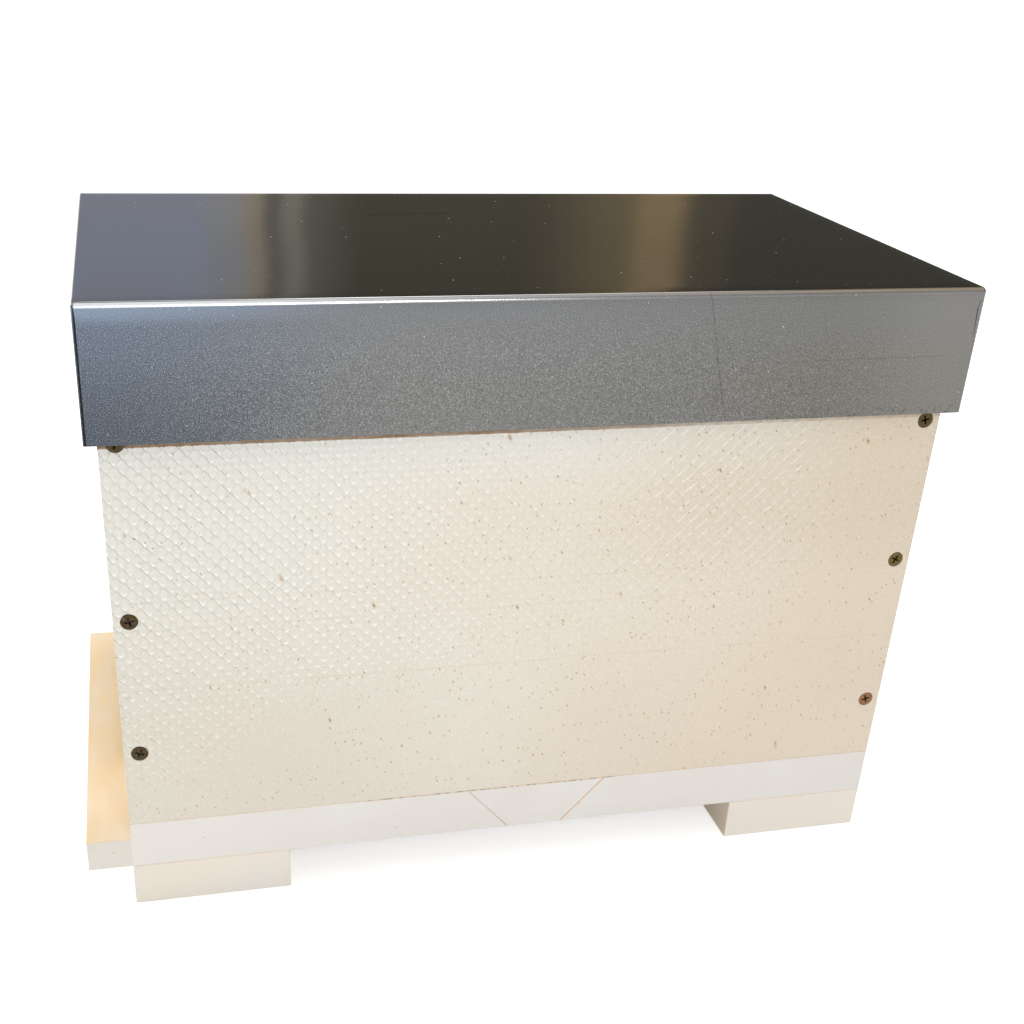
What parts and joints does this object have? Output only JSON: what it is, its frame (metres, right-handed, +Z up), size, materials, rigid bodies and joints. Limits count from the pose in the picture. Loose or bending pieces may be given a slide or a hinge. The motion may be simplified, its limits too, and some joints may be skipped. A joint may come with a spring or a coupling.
{
  "type": "nuc box",
  "caption": "Small foam-board beehive box on feet, with a landing board, a lift-off folded metal roof over an inner cover, and a sliding entrance shutter.",
  "frame": {"origin": "on the ground under the middle of the whole part's box", "axes": "+X along the box away from the entrance, +Y from the left wall to the right wall, +Z up"},
  "size_m": [0.5444, 0.298, 0.3941],
  "materials": {
    "roof_metal": "satin",
    "pad_foam": "matte",
    "cover_board": "matte",
    "wall_foam": "matte",
    "floor_foam": "matte",
    "foot_foam": "matte",
    "rest_metal": "satin",
    "screw_metal": "satin",
    "nail_metal": "satin",
    "shutter_metal": "satin",
    "knob_plastic": "satin"
  },
  "bodies": {
    "box": {"left_side_wall": "wall_foam", "right_side_wall": "wall_foam", "front_wall": "wall_foam", "rear_wall": "wall_foam", "front_floor_board": "floor_foam", "floor_key": "floor_foam", "rear_floor_board": "floor_foam", "front_foot": "foot_foam", "rear_foot": "foot_foam", "front_frame_rest": "rest_metal", "rear_frame_rest": "rest_metal", "front_rest_nails": "nail_metal", "rear_rest_nails": "nail_metal", "left_wall_screws": "screw_metal", "right_wall_screws": "screw_metal", "floor_screws": "screw_metal", "front_foot_screws": "screw_metal", "rear_foot_screws": "screw_metal", "shutter_rail": "shutter_metal", "shutter_rail_screws": "nail_metal"},
    "roof": {"roof_sheet": "roof_metal", "roof_insulation": "pad_foam"},
    "cover": {"inner_cover": "cover_board"},
    "shutter": {"entrance_shutter": "shutter_metal", "shutter_knob": "knob_plastic"}
  },
  "joints": [
    {"name": "roof_lift", "type": "slide", "parent": "box", "child": "roof", "axis": [0, 0, 1], "range_m": [0, 0.15]},
    {"name": "inner_cover_lift", "type": "slide", "parent": "box", "child": "cover", "axis": [0, 0, 1], "range_m": [0, 0.075]},
    {"name": "shutter_slide", "type": "slide", "parent": "box", "child": "shutter", "axis": [0, -1, 0], "range_m": [0, 0.088]}
  ],
  "couplings": [
    {"joint": "inner_cover_lift", "follows": "roof_lift", "ratio": 0.5}
  ]
}
